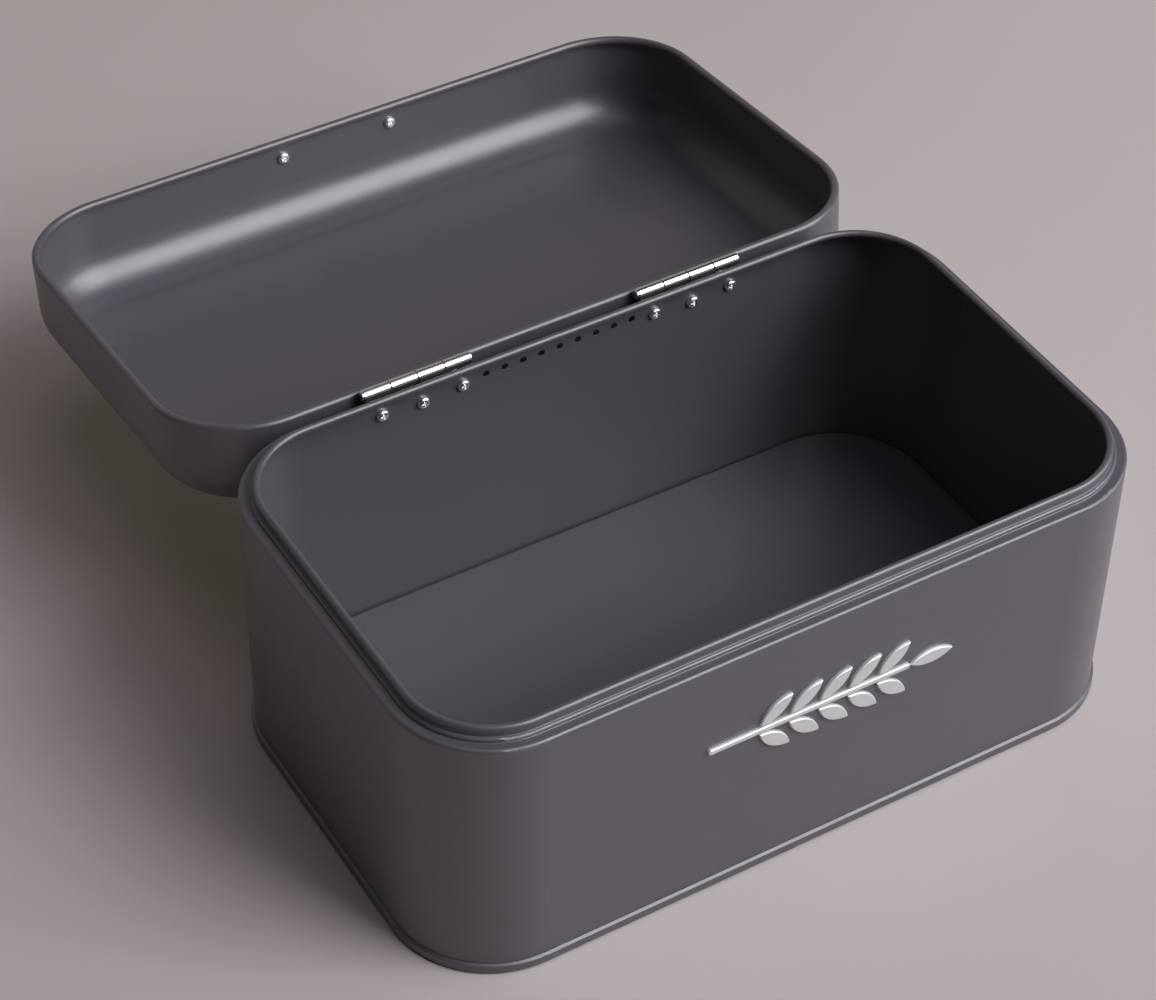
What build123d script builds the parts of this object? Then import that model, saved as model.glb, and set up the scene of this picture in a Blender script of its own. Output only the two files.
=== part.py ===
from build123d import *
import math
import os

# Steel bread bin with a hinged lid, standing on its folded base seam.
# Millimetres, +Z up, +X to the right seen from the front, front wall towards -Y,
# origin at the centre of the base outline on the table.
# The lid is drawn closed and turned back to its open stop before it is exported.

# --- body -----------------------------------------------------------------
bin_length = 420.0           # over the wall, along X
bin_width = 251.0            # over the wall, along Y
corner_r = 55.0              # upright corners, outside
sheet_t = 0.6                # all pressed sheet
shoulder_z = 159.4           # top of the shoulder the lid sits on
shoulder_r = 1.6             # bend between wall and shoulder, on the sheet's middle
step_in = 5.9                # wall face to the raised step
step_h = 2.1                 # rise of that step
step_r = 1.2                 # bend at the top of the step, on the sheet's middle
foot_r = 0.8                 # bends at the foot of step and neck, on the sheet's middle
neck_in = 7.97               # wall face to the middle of the neck sheet
rim_rise = 5.6               # shoulder to the middle of the rolled rim
rim_roll_r = 1.6             # rolled rim, on the sheet's middle
rim_roll_turn = 275.0        # how far the rim is rolled inwards

# --- base -----------------------------------------------------------------
floor_z = 12.7               # top of the sunk floor
floor_edge_in = 6.0          # wall face to where the flat floor starts
floor_bend_r = 1.7           # floor's edge bend, on the sheet's middle
seam_bend_r = 0.35           # bends under the wall's edge, on the sheet's middle
seam_play = 0.05             # paint gap between wall and seam
seam_z = 5.4                 # height where the seam folds over
seam_fold_r = 0.45           # fold at the top of the seam, on the sheet's middle
seam_lip_slope = 30.0        # slope from the fold up to the wall, degrees
seam_return_z = 1.4          # lower edge of the folded return

# --- lid ------------------------------------------------------------------
lid_seat_gap = 0.3           # paint gap between closed lid and shoulder
lid_roll_r = 2.1             # rolled edge, on the sheet's middle
lid_roll_turn = 255.0        # how far the edge is rolled inwards
lid_depth = 54.5             # middle of the rolled edge to the top, outside
lid_round_r = 24.0           # round between skirt and top, outside

# --- hinges ---------------------------------------------------------------
hinge_x = 83.0               # middle of each hinge from the bin's middle
hinge_length = 63.2
barrel_shift = -1.1          # middle of each barrel from the middle of its screws
barrel_r = 3.5
barrel_stand_off = 0.4       # wall face to the barrel
barrel_rise = 0.7            # hinge axis above the shoulder
knuckle_edge = 0.25          # chamfer of the knuckle ends
pin_r = 1.9
pin_play = 0.05              # radial running clearance in every knuckle
knuckle_gap = 0.5            # between neighbouring knuckles
leaf_t = 1.0
leaf_h = 19.0                # hinge axis to the leaf's far edge
leaf_corner_r = 3.0
leaf_notch_play = 0.4        # around the other leaf's knuckles
pin_head_r = 3.0
pin_head_t = 1.2
pin_peen_r = 2.6
pin_peen_t = 0.6
hinge_screw_pitch = 24.0
hinge_screw_drop = 12.7      # hinge axis to the outer screws
middle_screw_drop = 14.4     # hinge axis to the middle screw
open_angle = 186.0           # from closed to the open stop, degrees

# --- screws and nuts --------------------------------------------------------
screw_r = 1.5
screw_hole_r = 1.65
screw_head_r = 3.5
screw_head_t = 2.5
screw_dome_r = 1.7
cross_length = 4.0
cross_width = 0.95
cross_depth = 1.3
nut_flats = 5.5
nut_t = 1.6
nut_play = 0.02              # thread stand-in gap, radial

# --- handle -----------------------------------------------------------------
handle_pitch = 70.0          # between its two screws
handle_rise = 11.3           # middle of the rolled edge to the screws
handle_rod_r = 3.25
handle_foot_r = 6.0
handle_foot_t = 2.0
handle_stub = 6.5            # straight part leaving the lid
handle_reach = 20.0          # lid face to the grip's middle
handle_lean = 48.0           # the bow's climb from the horizontal, degrees
handle_bend_r = 7.0
handle_hole_depth = 7.0

# --- vents and ornament -------------------------------------------------------
vent_count = 9
vent_pitch = 11.2
vent_r = 2.0
vent_drop = 10.8             # shoulder to the row of vents
sprig_x = 7.0                # middle of the ornament
sprig_z = 102.4
sprig_length = 145.0
sprig_height = 33.4
sprig_t = 1.8
sprig_bevel = 0.5
stem_w = 3.4
stem_share = 0.82            # stem's share of the ornament's length
grain_pairs = 5
stem_bare = 30.0            # stem left of the first grains
grain_length = 23.0
grain_width = 8.8
grain_lean = 38.0            # each grain's angle from the stem, degrees
grain_gap = 0.7              # between stem and grain
tip_length = 26.0

# --- derived ------------------------------------------------------------------
half_l = bin_length / 2
half_w = bin_width / 2
axis_y = half_w + barrel_stand_off + barrel_r
axis_z = shoulder_z + barrel_rise
roll_z = shoulder_z + lid_seat_gap + lid_roll_r + sheet_t / 2
roll_in = lid_roll_r + sheet_t / 2
lid_top_z = roll_z + lid_depth
hinge_axis = Axis((0, axis_y, axis_z), (1, 0, 0))


def front_y(inset):
    """Y of a point this far inside the front wall's face."""
    return -half_w + inset


def ring_lines():
    """Rounded outline of the wall's face, starting at the front's middle."""
    sx = half_l - corner_r
    sy = half_w - corner_r
    Line((0, -half_w), (sx, -half_w))
    CenterArc((sx, -sy), corner_r, -90, 90)
    Line((half_l, -sy), (half_l, sy))
    CenterArc((sx, sy), corner_r, 0, 90)
    Line((sx, half_w), (-sx, half_w))
    CenterArc((-sx, sy), corner_r, 90, 90)
    Line((-half_l, sy), (-half_l, -sy))
    CenterArc((-sx, -sy), corner_r, 180, 90)
    Line((-sx, -half_w), (0, -half_w))


def facing(x, y, z, towards):
    """Plane at a point, its normal along +Y (1) or -Y (-1)."""
    return Plane(origin=(x, y, z), x_dir=(1, 0, 0), z_dir=(0, towards, 0))


def screw_spots(centre_x, side):
    """X and Z of a hinge's three screws: side -1 below the axis, 1 above it."""
    outer = axis_z + side * hinge_screw_drop
    middle = axis_z + side * middle_screw_drop
    return [
        (centre_x - hinge_screw_pitch, outer),
        (centre_x, middle),
        (centre_x + hinge_screw_pitch, outer),
    ]


def save(solid, name):
    solid.label = name
    export_step(solid, "parts/" + name + ".step")


with BuildLine(Plane.XY) as ring:
    ring_lines()
ring_path = ring.wire()

# --- body shell ---------------------------------------------------------------
mid = sheet_t / 2
wall_foot_z = sheet_t + seam_play
flat_z = shoulder_z - mid
rim_z = shoulder_z + rim_rise
with BuildPart() as body_shell:
    with BuildSketch(Plane.YZ) as wall_section:
        with BuildLine():
            FilletPolyline(
                (front_y(mid), wall_foot_z),
                (front_y(mid), flat_z),
                (front_y(step_in), flat_z),
                (front_y(step_in), flat_z + step_h),
                (front_y(neck_in), flat_z + step_h),
                (front_y(neck_in), rim_z),
                radius=(shoulder_r, foot_r, step_r, foot_r),
            )
            CenterArc((front_y(neck_in + rim_roll_r), rim_z), rim_roll_r, 180, -rim_roll_turn)
        trace(line_width=sheet_t)
    sweep(path=ring_path)
    for i in range(vent_count):
        vent_x = (i - (vent_count - 1) / 2) * vent_pitch
        with BuildSketch(facing(vent_x, half_w - 2 * sheet_t, shoulder_z - vent_drop, 1)):
            Circle(vent_r)
        extrude(amount=3 * sheet_t, mode=Mode.SUBTRACT)
    for centre_x in (-hinge_x, hinge_x):
        for x, z in screw_spots(centre_x, -1):
            with BuildSketch(facing(x, half_w - 2 * sheet_t, z, 1)):
                Circle(screw_hole_r)
            extrude(amount=3 * sheet_t, mode=Mode.SUBTRACT)
save(body_shell.part, "body_shell")

# --- base panel with its folded seam --------------------------------------------
inner_leg = sheet_t + seam_play + mid
outer_leg = -(seam_play + mid)
with BuildPart() as base_panel:
    with BuildSketch(Plane.YZ) as seam_section:
        with BuildLine():
            floor_mid = floor_z - mid
            Line((front_y(floor_edge_in), floor_mid),
                 (front_y(inner_leg + floor_bend_r), floor_mid))
            CenterArc((front_y(inner_leg + floor_bend_r), floor_mid - floor_bend_r),
                      floor_bend_r, 90, 90)
            FilletPolyline(
                (front_y(inner_leg), floor_mid - floor_bend_r),
                (front_y(inner_leg), mid),
                (front_y(outer_leg), mid),
                (front_y(outer_leg), seam_z),
                radius=seam_bend_r,
            )
            CenterArc((front_y(outer_leg - seam_fold_r), seam_z), seam_fold_r, 0, 180)
            Line((front_y(outer_leg - 2 * seam_fold_r), seam_z),
                 (front_y(outer_leg - 2 * seam_fold_r), seam_return_z))
        trace(line_width=sheet_t)
        with BuildLine():
            lip_in = seam_fold_r + mid
            lip_turn = math.radians(seam_lip_slope)
            lip_y = lip_in + lip_in * math.sin(lip_turn)
            lip_z = seam_z + lip_in * math.cos(lip_turn)
            Polyline(
                (front_y(-seam_play), seam_z),
                (front_y(-seam_play), lip_z + lip_y * math.tan(lip_turn)),
                (front_y(-seam_play - lip_y), lip_z),
                (front_y(-seam_play - lip_in), seam_z),
                close=True,
            )
        make_face()
    sweep(path=ring_path)
    with BuildSketch(Plane.XY.offset(floor_z - sheet_t)):
        RectangleRounded(bin_length - 2 * floor_edge_in, bin_width - 2 * floor_edge_in,
                         corner_r - floor_edge_in)
    extrude(amount=sheet_t)
save(base_panel.part, "base_panel")

# --- lid shell --------------------------------------------------------------------
round_mid = lid_round_r - mid
with BuildPart() as lid_shell:
    with BuildSketch(Plane.YZ) as skirt_section:
        with BuildLine():
            CenterArc((front_y(roll_in), roll_z), lid_roll_r, lid_roll_turn - 180, -lid_roll_turn)
            Line((front_y(mid), roll_z), (front_y(mid), lid_top_z - lid_round_r))
            CenterArc((front_y(lid_round_r), lid_top_z - lid_round_r), round_mid, 180, -90)
        trace(line_width=sheet_t)
    sweep(path=ring_path)
    with BuildSketch(Plane.XY.offset(lid_top_z - sheet_t)):
        RectangleRounded(bin_length - 2 * lid_round_r, bin_width - 2 * lid_round_r,
                         corner_r - lid_round_r)
    extrude(amount=sheet_t)
    for centre_x in (-hinge_x, hinge_x):
        for x, z in screw_spots(centre_x, 1):
            with BuildSketch(facing(x, half_w - 2 * sheet_t, z, 1)):
                Circle(screw_hole_r)
            extrude(amount=3 * sheet_t, mode=Mode.SUBTRACT)
    for x in (-handle_pitch / 2, handle_pitch / 2):
        with BuildSketch(facing(x, -half_w + 2 * sheet_t, roll_z + handle_rise, -1)):
            Circle(screw_hole_r)
        extrude(amount=3 * sheet_t, mode=Mode.SUBTRACT)
save(lid_shell.part.rotate(hinge_axis, -open_angle), "lid_shell")

# --- hinge leaves, pins, screws and nuts ------------------------------------------------
knuckle_l = (hinge_length - 3 * knuckle_gap) / 4
knuckle_step = knuckle_l + knuckle_gap


def leaf(centre_x, side):
    """One hinge leaf lying on the back face: side -1 on the body, 1 on the lid."""
    own = (0, 2) if side < 0 else (1, 3)
    other = (1, 3) if side < 0 else (0, 2)
    middle = centre_x + barrel_shift
    left = middle - hinge_length / 2
    with BuildPart() as plate:
        with BuildSketch(facing(middle, half_w, axis_z + side * leaf_h / 2, 1)):
            Rectangle(hinge_length, leaf_h)
        extrude(amount=leaf_t)
        far = plate.edges().filter_by(Axis.Y).group_by(Axis.Z)[-1 if side > 0 else 0]
        fillet(far, leaf_corner_r)
        for n in other:
            with BuildSketch(Plane(origin=(left + n * knuckle_step - knuckle_gap, half_w, axis_z),
                                   x_dir=(0, 1, 0), z_dir=(1, 0, 0))):
                Rectangle(4 * leaf_t, 2 * (barrel_r + leaf_notch_play))
            extrude(amount=knuckle_l + 2 * knuckle_gap, mode=Mode.SUBTRACT)
        for n in own:
            with BuildSketch(facing(left + n * knuckle_step, axis_y, axis_z, -1)):
                with BuildLine():
                    Polyline(
                        (0, 0),
                        (0, barrel_r - knuckle_edge),
                        (knuckle_edge, barrel_r),
                        (knuckle_l - knuckle_edge, barrel_r),
                        (knuckle_l, barrel_r - knuckle_edge),
                        (knuckle_l, 0),
                        close=True,
                    )
                make_face()
            revolve(axis=hinge_axis)
        with BuildSketch(Plane(origin=(left - 1, axis_y, axis_z), x_dir=(0, 1, 0),
                               z_dir=(1, 0, 0))):
            Circle(pin_r + pin_play)
        extrude(amount=hinge_length + 2, mode=Mode.SUBTRACT)
        for x, z in screw_spots(centre_x, side):
            with BuildSketch(facing(x, half_w - 1, z, 1)):
                Circle(screw_hole_r)
            extrude(amount=leaf_t + 2, mode=Mode.SUBTRACT)
    return plate.part


def pin(centre_x):
    """Hinge pin with a flat head at the left and a peened end at the right."""
    left = centre_x + barrel_shift - hinge_length / 2
    with BuildPart() as rod:
        with BuildSketch(Plane(origin=(left, axis_y, axis_z), x_dir=(0, 1, 0), z_dir=(1, 0, 0))):
            Circle(pin_r)
        extrude(amount=hinge_length)
        with BuildSketch(Plane(origin=(left - pin_head_t, axis_y, axis_z), x_dir=(0, 1, 0),
                               z_dir=(1, 0, 0))):
            Circle(pin_head_r)
        extrude(amount=pin_head_t)
        with BuildSketch(Plane(origin=(left + hinge_length, axis_y, axis_z), x_dir=(0, 1, 0),
                               z_dir=(1, 0, 0))):
            Circle(pin_peen_r)
        extrude(amount=pin_peen_t)
        fillet(rod.edges().filter_by(GeomType.CIRCLE).group_by(Axis.X)[0], pin_head_t / 2)
        fillet(rod.edges().filter_by(GeomType.CIRCLE).group_by(Axis.X)[-1], pin_peen_t / 2)
    return rod.part


def screws(spots, face_y, towards, shank_l):
    """Cross-recessed pan-head screws whose heads sit on face_y and shanks run outwards."""
    with BuildPart() as group:
        for x, z in spots:
            with BuildSketch(facing(x, face_y, z, -towards)):
                Circle(screw_head_r)
            extrude(amount=screw_head_t)
        tops = group.edges().filter_by(GeomType.CIRCLE).group_by(Axis.Y)[0 if towards > 0 else -1]
        fillet(tops, screw_dome_r)
        for x, z in spots:
            with BuildSketch(facing(x, face_y - towards * (screw_head_t - cross_depth), z, -towards)):
                Rectangle(cross_length, cross_width)
                Rectangle(cross_width, cross_length)
            extrude(amount=cross_depth, mode=Mode.SUBTRACT)
            with BuildSketch(facing(x, face_y, z, towards)):
                Circle(screw_r)
            extrude(amount=shank_l)
    return group.part


def nuts(spots, face_y):
    """Thin hexagon nuts lying on a leaf."""
    with BuildPart() as group:
        for x, z in spots:
            with BuildSketch(facing(x, face_y, z, 1)):
                RegularPolygon(nut_flats / 2, 6, major_radius=False)
                Circle(screw_r + nut_play, mode=Mode.SUBTRACT)
            extrude(amount=nut_t)
    return group.part


hinge_shank_l = sheet_t + leaf_t + nut_t
for hand, centre_x in (("left", -hinge_x), ("right", hinge_x)):
    below = screw_spots(centre_x, -1)
    above = screw_spots(centre_x, 1)
    save(leaf(centre_x, -1), "hinge_" + hand + "_body_leaf")
    save(pin(centre_x), "hinge_" + hand + "_pin")
    save(screws(below, half_w - sheet_t, 1, hinge_shank_l), "hinge_" + hand + "_body_screws")
    save(nuts(below, half_w + leaf_t), "hinge_" + hand + "_body_nuts")
    save(leaf(centre_x, 1).rotate(hinge_axis, -open_angle), "hinge_" + hand + "_lid_leaf")
    save(screws(above, half_w - sheet_t, 1, hinge_shank_l).rotate(hinge_axis, -open_angle),
         "hinge_" + hand + "_lid_screws")
    save(nuts(above, half_w + leaf_t).rotate(hinge_axis, -open_angle),
         "hinge_" + hand + "_lid_nuts")

# --- handle -----------------------------------------------------------------------------
handle_z = roll_z + handle_rise
climb = (handle_reach - handle_stub) * math.tan(math.radians(handle_lean))
grip_x = handle_pitch / 2
with BuildPart() as handle:
    with BuildLine() as bow:
        FilletPolyline(
            (-grip_x, -half_w - handle_foot_t / 2, handle_z),
            (-grip_x, -half_w - handle_stub, handle_z),
            (-grip_x, -half_w - handle_reach, handle_z + climb),
            (grip_x, -half_w - handle_reach, handle_z + climb),
            (grip_x, -half_w - handle_stub, handle_z),
            (grip_x, -half_w - handle_foot_t / 2, handle_z),
            radius=handle_bend_r,
        )
    with BuildSketch(facing(-grip_x, -half_w - handle_foot_t / 2, handle_z, -1)):
        Circle(handle_rod_r)
    sweep(path=bow.wire())
    for x in (-grip_x, grip_x):
        with BuildSketch(facing(x, -half_w, handle_z, -1)):
            Circle(handle_foot_r)
        extrude(amount=handle_foot_t)
    rims = handle.edges().filter_by(GeomType.CIRCLE).filter_by(
        lambda e: abs(e.radius - handle_foot_r) < 1e-3 and e.center().Y < -half_w - 1e-3)
    fillet(rims, handle_foot_t / 2)
    for x in (-grip_x, grip_x):
        with BuildSketch(facing(x, -half_w, handle_z, -1)):
            Circle(screw_r + nut_play)
        extrude(amount=handle_hole_depth, mode=Mode.SUBTRACT)
save(handle.part.rotate(hinge_axis, -open_angle), "handle")

handle_spots = [(-grip_x, handle_z), (grip_x, handle_z)]
handle_shank_l = sheet_t + handle_hole_depth - 1.0
save(screws(handle_spots, -half_w + sheet_t, -1, handle_shank_l).rotate(hinge_axis, -open_angle),
     "handle_screws")

# --- wheat sprig on the front ---------------------------------------------------------------
sprig_left = sprig_x - sprig_length / 2
stem_l = sprig_length * stem_share
grain_start = sprig_left + stem_bare
grain_step = (sprig_left + stem_l - grain_start - 2.0) / grain_pairs


def grain_lines(length, width):
    """Outline of a pointed grain lying along the sketch's X from the origin."""
    for half in (width / 2, -width / 2):
        ThreePointArc((0, 0), (0.5 * length, half), (length, 0))


def grain_row(side):
    with BuildPart() as row:
        for i in range(grain_pairs):
            x = grain_start + i * grain_step
            z = sprig_z + side * (stem_w / 2 + grain_gap + 0.6)
            lean = math.radians(grain_lean)
            with BuildSketch(Plane(origin=(x, -half_w, z),
                                   x_dir=(math.cos(lean), 0, side * math.sin(lean)),
                                   z_dir=(0, -1, 0))):
                with BuildLine():
                    grain_lines(grain_length, grain_width)
                make_face()
            extrude(amount=sprig_t)
        face = row.faces().filter_by(Axis.Y).group_by(Axis.Y)[0]
        chamfer(face.edges(), sprig_bevel)
    return row.part


save(grain_row(1), "sprig_upper_grains")
save(grain_row(-1), "sprig_lower_grains")

with BuildPart() as sprig_stem:
    with BuildSketch(facing(sprig_left + stem_l / 2, -half_w, sprig_z, -1)):
        SlotOverall(stem_l, stem_w)
    extrude(amount=sprig_t)
    chamfer(sprig_stem.faces().sort_by(Axis.Y)[0].edges(), sprig_bevel)
save(sprig_stem.part, "sprig_stem")

with BuildPart() as sprig_tip:
    with BuildSketch(facing(sprig_left + sprig_length - tip_length, -half_w, sprig_z, -1)):
        with BuildLine():
            grain_lines(tip_length, grain_width)
        make_face()
    extrude(amount=sprig_t)
    chamfer(sprig_tip.faces().sort_by(Axis.Y)[0].edges(), sprig_bevel)
save(sprig_tip.part, "sprig_tip")
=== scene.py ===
"""Looks of an open steel bread bin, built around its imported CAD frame."""

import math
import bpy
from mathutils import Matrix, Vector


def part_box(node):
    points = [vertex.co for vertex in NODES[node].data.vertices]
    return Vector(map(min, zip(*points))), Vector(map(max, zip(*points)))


bl_info = {
    "name": "Bread Bin Looks",
    "version": (1, 0, 0),
    "blender": (4, 5, 0),
    "location": "3D View > Sidebar > Bread Bin",
    "description": "Paint, plating, front ornament and studio for a steel bread bin",
    "category": "Object",
}

import bpy
from bpy.props import FloatProperty, FloatVectorProperty, PointerProperty
from bpy.types import Operator, Panel, PropertyGroup
from mathutils import Matrix, Vector

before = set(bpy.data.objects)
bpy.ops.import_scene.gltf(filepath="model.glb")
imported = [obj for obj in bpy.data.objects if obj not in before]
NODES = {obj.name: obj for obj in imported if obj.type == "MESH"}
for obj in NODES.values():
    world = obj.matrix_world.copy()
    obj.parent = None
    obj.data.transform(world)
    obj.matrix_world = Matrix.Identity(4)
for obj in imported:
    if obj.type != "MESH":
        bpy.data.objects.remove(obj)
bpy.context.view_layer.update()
END_X, BACK_Y, RIM_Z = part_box("body_shell")[1]  # right end wall, back wall, top of the rim

# lamps around the bin, all facing it: name, degrees to the right of the front, degrees up,
# distance, width, height, share of the light that a white card facing it would need to show
# white, colour, lights matt surfaces, shows in gloss
SOFT_BOXES = (
    ("key_box", 36.0, 42.0, 5.0, 3.0, 3.0, 0.61, (0.985, 0.965, 1.0), True, True),
    ("key_sheen", 36.0, 42.0, 5.0, 3.8, 3.8, 1.60, (1.0, 0.99, 1.0), False, True),
    ("low_box", 60.0, 14.0, 2.2, 1.4, 0.9, 0.30, (0.86, 0.99, 1.0), True, True),
    ("top_box", 30.0, 78.0, 5.0, 4.0, 4.0, 0.14, (0.95, 0.87, 1.0), True, True),
    ("back_wall", 172.0, 12.0, 5.0, 7.0, 2.0, 0.31, (1.0, 0.93, 0.72), True, False),
    ("back_paper", 178.0, 30.0, 5.0, 18.0, 5.4, 0.36, (1.0, 0.97, 0.97), False, True),
)
LAMPS_FACE = (0.0, 0.12, 0.1)
FILL_COLOUR = (1.0, 0.86, 1.0, 1.0)
FLOOR_SIZE = 9.0

# camera, fitted to the photograph: its place, and its picture's directions in the frame
CAMERA_PLACE = (-0.671334, -0.985673, 1.239126)
CAMERA_RIGHT = (0.857720652, -0.513939861, 0.013457401)
CAMERA_DOWN = (-0.340754389, -0.587900032, -0.733662046)
CAMERA_AHEAD = (0.384969777, 0.624691420, -0.679381263)
SENSOR_MM = 36.0
CAMERA_REACH = 50.0

# the wall sheet's butt weld, ground down and painted over: its middle, the half widths where
# it starts to fade and ends, its rise, how much paler than the coat it is
WELD_Y = 0.049
WELD_FULL = 0.00032
WELD_EDGE = 0.0008
WELD_RISE = 0.00012
WELD_PALER = 1.5
# it shows only high up inside the right end wall, under the rolled rim: where it fades in
# and where it fades out, in X and in Z
WELD_X_IN = (END_X - 0.014, END_X - 0.012)
WELD_X_OUT = (END_X - 0.0004, END_X - 0.0002)
WELD_Z_IN = (RIM_Z - 0.0469, RIM_Z - 0.0169)
WELD_Z_OUT = (RIM_Z - 0.0099, RIM_Z - 0.0089)

# the corner between hinge barrels and back wall, where the plating is made rougher and painted
# dark: painted shade in the crevice behind the barrels
SHADED_DULL_Y = BACK_Y + 0.0009
SHADED_DULL_FADE = 0.0004
# painted shade: the dark colour given to the plating in that crevice, standing in for shade
# there
PAINTED_SHADE_COLOUR = (0.07, 0.065, 0.06)
DULL_ROUGHNESS = 0.7

# how unevenly each finish lies: what its colour is multiplied by where it is darkest and
# palest, and how much smoother and rougher it gets than its own roughness
COAT_TINTS = (0.965, 1.035)
COAT_SMOOTHER, COAT_ROUGHER = 0.02, 0.03
PLATING_TINTS = (0.94, 1.03)
PLATING_SMOOTHER_TIMES, PLATING_ROUGHER_TIMES = 0.8, 1.35
SILVER_TINTS = (0.95, 1.05)
SILVER_SMOOTHER, SILVER_ROUGHER = 0.04, 0.05
PAPER_TINTS = (0.99, 1.01)

# what stays the same all over a finish
COAT_SPECULAR = 0.75
SILVER_METAL = 0.25
PAPER_ROUGHNESS = 0.9
PAPER_SPECULAR = 0.15

# relief of the plating's hairlines and the silver's grain
HAIR_HEIGHT = 0.000004
GRAIN_HEIGHT = 0.000012

# how far the plating's hairlines are drawn out along each piece
HINGE_LINES = (0.08, 1.0, 1.0)
HANDLE_LINES = (0.15, 1.0, 1.0)
SCREW_LINES = (1.0, 0.3, 1.0)


# --- what a user may change -----------------------------------------------------------


class BreadBinPaint(PropertyGroup):
    """Powder coat on the two shells."""

    colour: FloatVectorProperty(
        name="Colour", description="Grey of the powder coat",
        subtype="COLOR", size=3, min=0.0, max=1.0, default=(0.118, 0.106, 0.128))
    roughness: FloatProperty(
        name="Roughness", description="Gloss of the coat, lower is shinier",
        subtype="FACTOR", min=0.05, max=1.0, default=0.36)
    peel_size: FloatProperty(
        name="Peel size", description="Size of the coat's fine orange peel",
        subtype="DISTANCE", unit="LENGTH", min=0.0002, max=0.01, default=0.0016)
    peel_depth: FloatProperty(
        name="Peel depth", description="Height of the orange peel",
        subtype="DISTANCE", unit="LENGTH", min=0.0, max=0.0005, default=0.00002)


class BreadBinPlating(PropertyGroup):
    """Bright plating on hinges, handle and screws."""

    hinge_colour: FloatVectorProperty(
        name="Hinge colour", description="Colour of the hinge plating",
        subtype="COLOR", size=3, min=0.0, max=1.0, default=(0.80, 0.78, 0.76))
    hinge_roughness: FloatProperty(
        name="Hinge roughness", description="Polish of the hinges and the handle",
        subtype="FACTOR", min=0.02, max=1.0, default=0.14)
    screw_colour: FloatVectorProperty(
        name="Screw colour", description="Colour of screws and nuts",
        subtype="COLOR", size=3, min=0.0, max=1.0, default=(0.90, 0.90, 0.92))
    screw_roughness: FloatProperty(
        name="Screw roughness", description="Polish of screws and nuts",
        subtype="FACTOR", min=0.02, max=1.0, default=0.30)


class BreadBinSprig(PropertyGroup):
    """Raised wheat sprig on the front wall."""

    colour: FloatVectorProperty(
        name="Colour", description="Silver of the sprig",
        subtype="COLOR", size=3, min=0.0, max=1.0, default=(0.76, 0.745, 0.765))
    roughness: FloatProperty(
        name="Roughness", description="Satin of the silver",
        subtype="FACTOR", min=0.05, max=1.0, default=0.42)


class BreadBinStudio(PropertyGroup):
    """Floor, lamps and camera."""

    floor_colour: FloatVectorProperty(
        name="Floor", description="Colour of the floor near the camera",
        subtype="COLOR", size=3, min=0.0, max=1.0, default=(0.708, 0.645, 0.628))
    light: FloatProperty(
        name="Light", description="Strength of all the lamps together",
        min=0.0, max=10.0, default=1.0)
    fill: FloatProperty(
        name="Fill", description="Strength of the even light from all round",
        min=0.0, max=2.0, default=0.004)
    focal: FloatProperty(
        name="Focal length", description="Focal length in picture widths",
        min=0.5, max=10.0, default=2.7638)


# --- small tools ----------------------------------------------------------------------


def deselect():
    """Deselects what the frame or the last step left selected."""
    for obj in bpy.context.selected_objects:
        obj.select_set(False)
    bpy.context.view_layer.objects.active = None


def paint_node(name, material):
    """Gives a CAD node its finish."""
    obj = NODES[name]
    if not obj.material_slots:
        obj.data.materials.append(material)
    for slot in obj.material_slots:
        slot.material = material


def blank_material(name):
    """A new material, its node tree, its shader, and the place on the object."""
    material = bpy.data.materials.new(name)
    material.use_nodes = True
    tree = material.node_tree
    tree.nodes.clear()
    out = tree.nodes.new("ShaderNodeOutputMaterial")
    shader = tree.nodes.new("ShaderNodeBsdfPrincipled")
    tree.links.new(shader.outputs["BSDF"], out.inputs["Surface"])
    place = tree.nodes.new("ShaderNodeTexCoord")
    return material, tree, shader, place.outputs["Object"]


def noise(tree, where, scale, detail=2.0, roughness=0.5, stretch=None):
    """Soft noise with this many grains to the metre."""
    if stretch:
        mapping = tree.nodes.new("ShaderNodeMapping")
        mapping.inputs["Scale"].default_value = stretch
        tree.links.new(where, mapping.inputs["Vector"])
        where = mapping.outputs["Vector"]
    node = tree.nodes.new("ShaderNodeTexNoise")
    node.inputs["Scale"].default_value = scale
    node.inputs["Detail"].default_value = detail
    node.inputs["Roughness"].default_value = roughness
    tree.links.new(where, node.inputs["Vector"])
    return node.outputs["Fac"]


def ranged(tree, value, low, high, start=0.3, end=0.7):
    """Low below start, high above end. Noise is nearly always between 0.3 and 0.7."""
    node = tree.nodes.new("ShaderNodeMapRange")
    node.inputs["From Min"].default_value = start
    node.inputs["From Max"].default_value = end
    node.inputs["To Min"].default_value = low
    node.inputs["To Max"].default_value = high
    tree.links.new(value, node.inputs["Value"])
    return node.outputs["Result"]


def blended(tree, value, first, second):
    """The first colour where the value is 0, the second where it is 1."""
    node = tree.nodes.new("ShaderNodeMix")
    node.data_type = "RGBA"
    for side, colour in (("A", first), ("B", second)):
        if isinstance(colour, tuple):
            node.inputs[side].default_value = (*colour, 1.0)
        else:
            tree.links.new(colour, node.inputs[side])
    tree.links.new(value, node.inputs["Factor"])
    return node.outputs["Result"]


def mathed(tree, operation, first, second=0.0):
    """Two numbers or sockets put through one operation."""
    node = tree.nodes.new("ShaderNodeMath")
    node.operation = operation
    for socket, value in zip(node.inputs, (first, second)):
        if isinstance(value, float):
            socket.default_value = value
        else:
            tree.links.new(value, socket)
    return node.outputs["Value"]


def bumped(tree, height, distance, under=None):
    """Normals raised by this distance where the height is 1, on top of another bump."""
    node = tree.nodes.new("ShaderNodeBump")
    node.inputs["Distance"].default_value = distance
    node.inputs["Strength"].default_value = 1.0
    tree.links.new(height, node.inputs["Height"])
    if under is not None:
        tree.links.new(under, node.inputs["Normal"])
    return node.outputs["Normal"]


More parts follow.
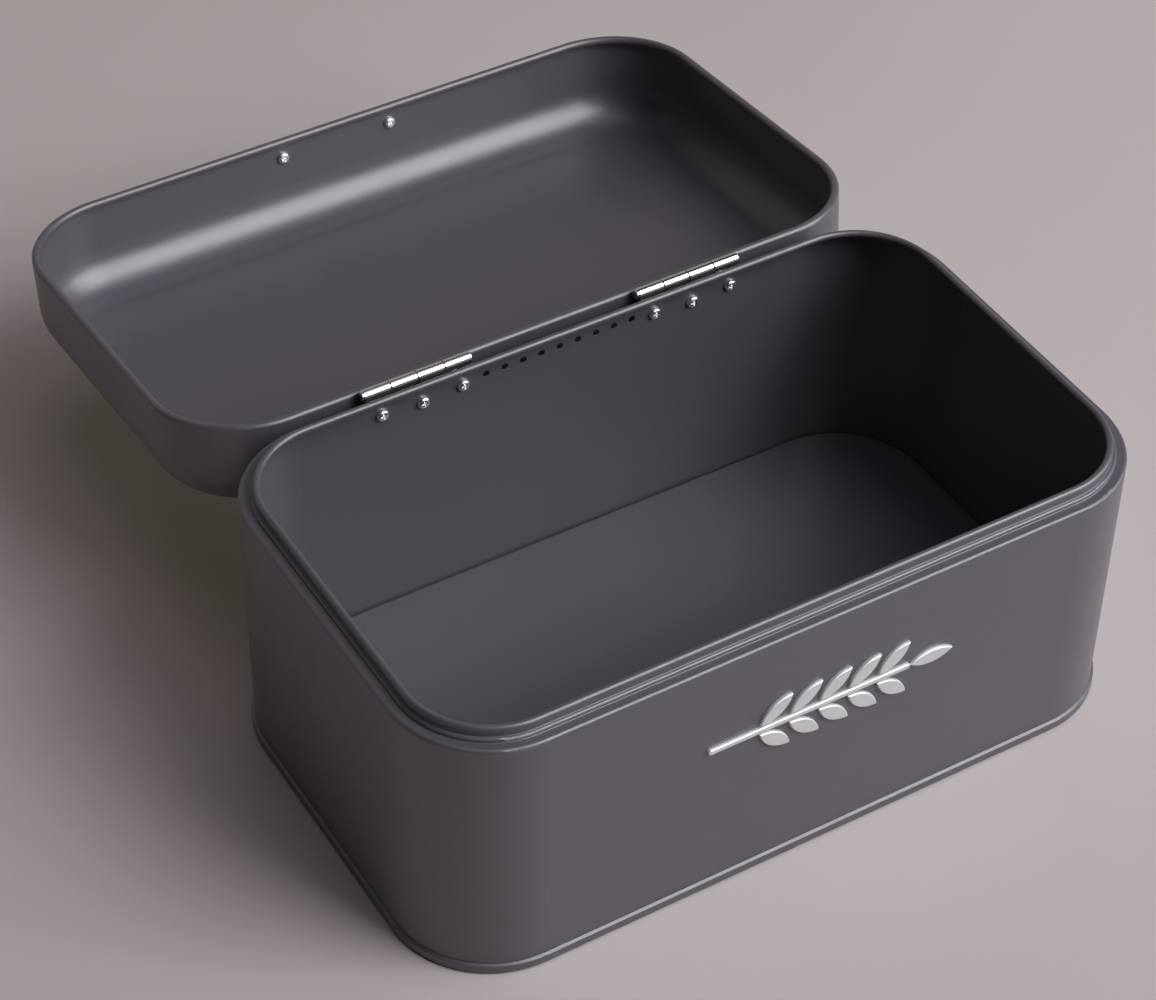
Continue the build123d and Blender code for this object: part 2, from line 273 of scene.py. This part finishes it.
def shade(colour, factor):
    """The colour, lighter or darker."""
    return tuple(min(1.0, c * factor) for c in colour)


def uneven(tree, value, colour, tints):
    """The colour times the first tint where the value is small, the second where large."""
    darkest, palest = (shade(colour, tint) for tint in tints)
    return blended(tree, ranged(tree, value, 0.0, 1.0), darkest, palest)


def split_place(tree, where):
    """X, Y and Z of a place."""
    node = tree.nodes.new("ShaderNodeSeparateXYZ")
    tree.links.new(where, node.inputs["Vector"])
    return node.outputs


# --- finishes -------------------------------------------------------------------------


def weld_line(tree, where):
    """1 along the butt weld inside the right end wall, 0 elsewhere."""
    x, y, z = split_place(tree, where)
    off = mathed(tree, "ABSOLUTE", mathed(tree, "SUBTRACT", y, WELD_Y))
    line = ranged(tree, off, 1.0, 0.0, WELD_FULL, WELD_EDGE)
    for place, low, high, ends in ((x, 0.0, 1.0, WELD_X_IN), (x, 1.0, 0.0, WELD_X_OUT),
                                   (z, 0.0, 1.0, WELD_Z_IN), (z, 1.0, 0.0, WELD_Z_OUT)):
        line = mathed(tree, "MULTIPLY", line, ranged(tree, place, low, high, *ends))
    return line


def powder_coat(name, paint, welded=False):
    """Satin grey coat with fine orange peel and faint unevenness."""
    material, tree, shader, where = blank_material(name)
    drift = noise(tree, where, scale=9.0, detail=3.0)
    tint = uneven(tree, drift, paint.colour, COAT_TINTS)
    under = None
    if welded:
        weld = weld_line(tree, where)
        tint = blended(tree, weld, tint, shade(paint.colour, WELD_PALER))
        under = bumped(tree, weld, WELD_RISE)
    tree.links.new(tint, shader.inputs["Base Color"])
    smear = noise(tree, where, scale=55.0, detail=4.0)
    gloss = ranged(tree, smear, paint.roughness - COAT_SMOOTHER,
                   paint.roughness + COAT_ROUGHER)
    tree.links.new(gloss, shader.inputs["Roughness"])
    shader.inputs["Specular IOR Level"].default_value = COAT_SPECULAR
    peel = noise(tree, where, scale=1.0 / paint.peel_size, roughness=0.45)
    tree.links.new(bumped(tree, peel, paint.peel_depth, under), shader.inputs["Normal"])
    return material


def bright_plating(name, colour, roughness, along, shaded_dull_y=None):
    """Polished plating with hairlines and a faint haze; rougher, and painted dark as shade,
    where Y lies below the given edge.
    """
    material, tree, shader, where = blank_material(name)
    haze = noise(tree, where, scale=160.0, detail=3.0)
    tint = uneven(tree, haze, colour, PLATING_TINTS)
    shader.inputs["Metallic"].default_value = 1.0
    smear = noise(tree, where, scale=420.0, detail=3.0)
    gloss = ranged(tree, smear, roughness * PLATING_SMOOTHER_TIMES,
                   roughness * PLATING_ROUGHER_TIMES)
    # painted shade: below this Y the plating is blended to a dark colour as shade in the
    # crevice, and made rougher
    if shaded_dull_y is not None:
        y = split_place(tree, where)["Y"]
        shade_and_dull = ranged(tree, y, 1.0, 0.0, shaded_dull_y - SHADED_DULL_FADE, shaded_dull_y)
        tint = blended(tree, shade_and_dull, tint, PAINTED_SHADE_COLOUR)
        gloss = mathed(tree, "MAXIMUM", gloss, mathed(tree, "MULTIPLY", shade_and_dull, DULL_ROUGHNESS))
    tree.links.new(tint, shader.inputs["Base Color"])
    tree.links.new(gloss, shader.inputs["Roughness"])
    hairs = noise(tree, where, scale=900.0, roughness=0.6, stretch=along)
    tree.links.new(bumped(tree, hairs, HAIR_HEIGHT), shader.inputs["Normal"])
    return material


def satin_silver(sprig):
    """Fine silver lacquer of the raised ornament."""
    material, tree, shader, where = blank_material("sprig_silver")
    flake = noise(tree, where, scale=2600.0)
    tint = uneven(tree, flake, sprig.colour, SILVER_TINTS)
    tree.links.new(tint, shader.inputs["Base Color"])
    shader.inputs["Metallic"].default_value = SILVER_METAL
    smear = noise(tree, where, scale=300.0, detail=3.0)
    gloss = ranged(tree, smear, sprig.roughness - SILVER_SMOOTHER,
                   sprig.roughness + SILVER_ROUGHER)
    tree.links.new(gloss, shader.inputs["Roughness"])
    grain = noise(tree, where, scale=1800.0)
    tree.links.new(bumped(tree, grain, GRAIN_HEIGHT), shader.inputs["Normal"])
    return material


def studio_floor(studio):
    """Pale matt paper."""
    material, tree, shader, where = blank_material("studio_paper")
    cloud = noise(tree, where, scale=3.0)
    tint = uneven(tree, cloud, studio.floor_colour, PAPER_TINTS)
    tree.links.new(tint, shader.inputs["Base Color"])
    shader.inputs["Roughness"].default_value = PAPER_ROUGHNESS
    shader.inputs["Specular IOR Level"].default_value = PAPER_SPECULAR
    return material


# --- studio ---------------------------------------------------------------------------


def add_soft_box(context, light, name, azimuth, height, distance, width, tall, share, colour,
                 lights, shows):
    """A rectangular lamp that faces the bin, from one row of SOFT_BOXES."""
    turn, lift = math.radians(azimuth), math.radians(height)
    away = Vector((math.sin(turn) * math.cos(lift), -math.cos(turn) * math.cos(lift),
                   math.sin(lift)))
    data = bpy.data.lights.new(name, "AREA")
    data.shape = "RECTANGLE"
    data.size = width
    data.size_y = tall
    data.energy = light * share * (math.pi * distance) ** 2
    data.color = colour
    lamp = bpy.data.objects.new(name, data)
    lamp.visible_diffuse = lights
    lamp.visible_glossy = shows
    lamp.location = Vector(LAMPS_FACE) + away * distance
    lamp.rotation_euler = (-away).to_track_quat("-Z", "Y").to_euler()
    context.collection.objects.link(lamp)


def add_camera(context, focal):
    """The photograph's camera."""
    data = bpy.data.cameras.new("studio_camera")
    data.sensor_fit = "HORIZONTAL"
    data.sensor_width = SENSOR_MM
    data.lens = SENSOR_MM * focal
    data.clip_end = CAMERA_REACH
    camera = bpy.data.objects.new("studio_camera", data)
    context.collection.objects.link(camera)
    up, back = -Vector(CAMERA_DOWN), -Vector(CAMERA_AHEAD)
    turn = Matrix((Vector(CAMERA_RIGHT), up, back)).transposed()
    camera.matrix_world = Matrix.Translation(CAMERA_PLACE) @ turn.to_4x4()
    context.scene.camera = camera


# --- operators ------------------------------------------------------------------------


class BREADBIN_OT_paint(Operator):
    """Gives the body, base and lid their grey powder coat"""

    bl_idname = "breadbin.paint"
    bl_label = "Powder coat"

    def execute(self, context):
        paint = context.scene.breadbin_paint
        coat = powder_coat("grey_powder_coat", paint)
        paint_node("body_shell", powder_coat("grey_powder_coat_welded", paint, welded=True))
        for name in ("base_panel", "lid_shell"):
            paint_node(name, coat)
        return {"FINISHED"}


class BREADBIN_OT_hinges(Operator):
    """Plates the hinge leaves and pins"""

    bl_idname = "breadbin.hinges"
    bl_label = "Hinges"

    def execute(self, context):
        plating = context.scene.breadbin_plating
        chrome = bright_plating("hinge_chrome", plating.hinge_colour, plating.hinge_roughness,
                                HINGE_LINES, shaded_dull_y=SHADED_DULL_Y)
        for hand in ("left", "right"):
            for part in ("body_leaf", "lid_leaf", "pin"):
                paint_node("hinge_" + hand + "_" + part, chrome)
        return {"FINISHED"}


class BREADBIN_OT_fasteners(Operator):
    """Plates the screws and nuts"""

    bl_idname = "breadbin.fasteners"
    bl_label = "Screws and nuts"

    def execute(self, context):
        plating = context.scene.breadbin_plating
        steel = bright_plating("screw_steel", plating.screw_colour, plating.screw_roughness,
                               SCREW_LINES)
        for name in NODES:
            if name.endswith("_screws") or name.endswith("_nuts"):
                paint_node(name, steel)
        return {"FINISHED"}


class BREADBIN_OT_handle(Operator):
    """Plates the bow handle"""

    bl_idname = "breadbin.handle"
    bl_label = "Handle"

    def execute(self, context):
        plating = context.scene.breadbin_plating
        chrome = bright_plating("handle_chrome", plating.hinge_colour, plating.hinge_roughness,
                                HANDLE_LINES)
        paint_node("handle", chrome)
        return {"FINISHED"}


class BREADBIN_OT_sprig(Operator):
    """Finishes the wheat sprig on the front wall"""

    bl_idname = "breadbin.sprig"
    bl_label = "Wheat sprig"

    def execute(self, context):
        silver = satin_silver(context.scene.breadbin_sprig)
        for name in ("sprig_stem", "sprig_upper_grains", "sprig_lower_grains", "sprig_tip"):
            paint_node(name, silver)
        return {"FINISHED"}


class BREADBIN_OT_stage(Operator):
    """Adds the floor, the lamps and the camera"""

    bl_idname = "breadbin.stage"
    bl_label = "Studio"

    def execute(self, context):
        studio = context.scene.breadbin_studio
        deselect()
        bpy.ops.mesh.primitive_plane_add(size=FLOOR_SIZE, location=(0.0, 0.0, 0.0))
        floor = context.object
        floor.name = "studio_floor"
        floor.data.materials.append(studio_floor(studio))

        world = bpy.data.worlds.new("studio_world")
        world.use_nodes = True
        background = world.node_tree.nodes["Background"]
        background.inputs["Color"].default_value = FILL_COLOUR
        background.inputs["Strength"].default_value = studio.fill
        context.scene.world = world

        for box in SOFT_BOXES:
            add_soft_box(context, studio.light, *box)
        add_camera(context, studio.focal)
        context.scene.view_settings.view_transform = "Standard"
        return {"FINISHED"}


class BREADBIN_PT_panel(Panel):
    """Sidebar panel with the bin's settings and steps"""

    bl_label = "Bread Bin"
    bl_idname = "BREADBIN_PT_panel"
    bl_space_type = "VIEW_3D"
    bl_region_type = "UI"
    bl_category = "Bread Bin"

    def draw(self, context):
        layout = self.layout
        for group, kind in GROUPS:
            box = layout.box()
            for name in kind.__annotations__:
                box.prop(getattr(context.scene, group), name)
        for operator in STEPS:
            layout.operator(operator.bl_idname)


GROUPS = (
    ("breadbin_paint", BreadBinPaint),
    ("breadbin_plating", BreadBinPlating),
    ("breadbin_sprig", BreadBinSprig),
    ("breadbin_studio", BreadBinStudio),
)
STEPS = (
    BREADBIN_OT_paint,
    BREADBIN_OT_hinges,
    BREADBIN_OT_fasteners,
    BREADBIN_OT_handle,
    BREADBIN_OT_sprig,
    BREADBIN_OT_stage,
)


def register():
    """Registers the settings, the steps and the panel."""
    for name, group in GROUPS:
        bpy.utils.register_class(group)
        setattr(bpy.types.Scene, name, PointerProperty(type=group))
    for step in STEPS:
        bpy.utils.register_class(step)
    bpy.utils.register_class(BREADBIN_PT_panel)


def unregister():
    """Takes them away again."""
    bpy.utils.unregister_class(BREADBIN_PT_panel)
    for step in reversed(STEPS):
        bpy.utils.unregister_class(step)
    for name, group in reversed(GROUPS):
        delattr(bpy.types.Scene, name)
        bpy.utils.unregister_class(group)


def main():
    """Dresses the frame."""
    register()
    bpy.ops.breadbin.paint()
    bpy.ops.breadbin.hinges()
    bpy.ops.breadbin.fasteners()
    bpy.ops.breadbin.handle()
    bpy.ops.breadbin.sprig()
    bpy.ops.breadbin.stage()


if __name__ == "__main__":
    main()
